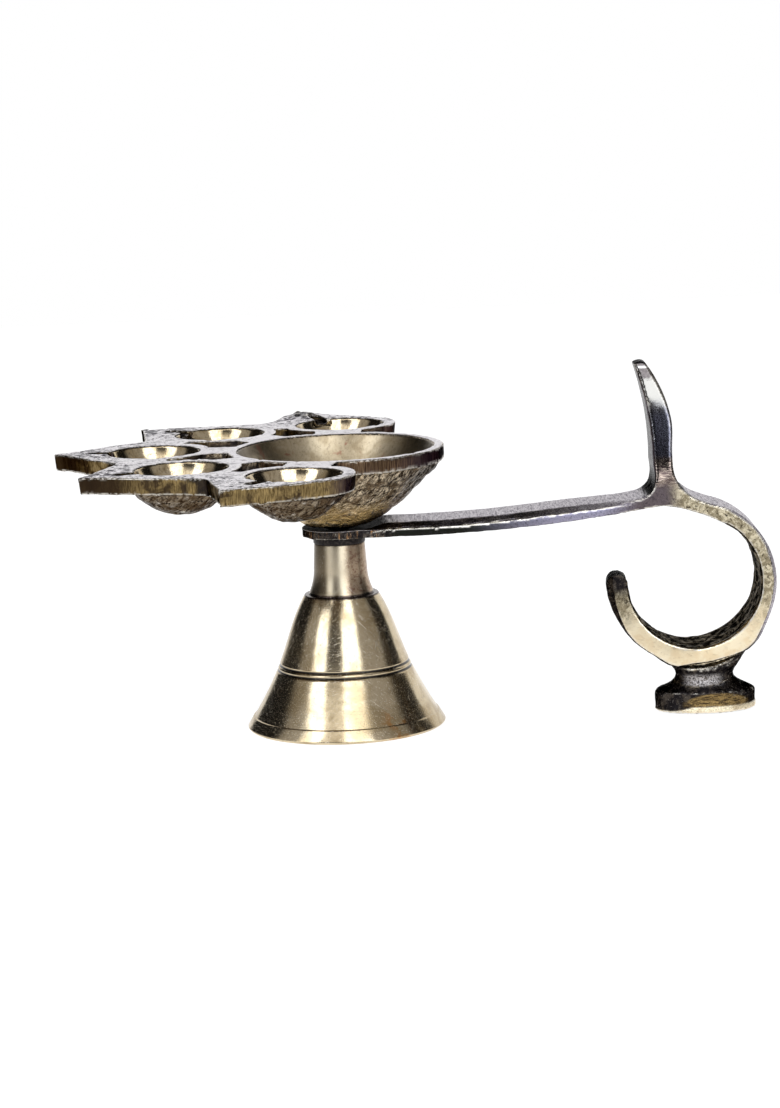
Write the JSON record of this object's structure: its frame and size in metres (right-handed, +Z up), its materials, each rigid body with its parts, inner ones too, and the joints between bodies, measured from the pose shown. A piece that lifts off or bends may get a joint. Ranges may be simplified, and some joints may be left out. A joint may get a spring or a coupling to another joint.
{
  "type": "aarti lamp",
  "caption": "Hand-held brass aarti lamp: a bowl with a fan of pointed wick cups on a bell foot, and a strap handle with a thumb rest, finger hook and oval foot.",
  "frame": {"origin": "on the ground at the centre of the bell's edge, on the stand's axis", "axes": "+Z up along the rod, +X from the stand along the handle"},
  "size_m": [0.2008, 0.1532, 0.0994],
  "materials": {
    "turned_brass": "turned and polished, scratched, with brown patina",
    "cast_brass": "rough cast, filed on its edges, turned in the hollows",
    "dark_brass": "blackened with age",
    "steel": "dull plated steel"
  },
  "bodies": {
    "stand": {"bell_foot": "turned_brass", "stem": "turned_brass", "neck_washer": "dark_brass"},
    "handle": {"handle": "cast_brass"},
    "cups": {"cup_casting": "cast_brass", "tie_rod": "steel"},
    "nut_washer": {"nut_washer": "steel"},
    "clamp_nut": {"clamp_nut": "steel"}
  },
  "joints": [
    {"name": "handle_swivel", "type": "hinge", "parent": "stand", "child": "handle", "pos_m": [0, 0, 0.05525], "axis": [0, 0, 1], "continuous": true},
    {"name": "cups_swivel", "type": "hinge", "parent": "stand", "child": "cups", "pos_m": [0, 0, 0.0566], "axis": [0, 0, 1], "continuous": true},
    {"name": "nut_travel", "type": "slide", "parent": "cups", "child": "nut_washer", "axis": [0, 0, -1], "range_m": [0, 0.006]},
    {"name": "nut_turn", "type": "hinge", "parent": "nut_washer", "child": "clamp_nut", "pos_m": [0, 0, 0.0299], "axis": [0, 0, -1], "range_deg": [0, 2160]}
  ],
  "couplings": [
    {"joint": "nut_turn", "follows": "nut_travel", "rad_per_m": 6283.2}
  ]
}
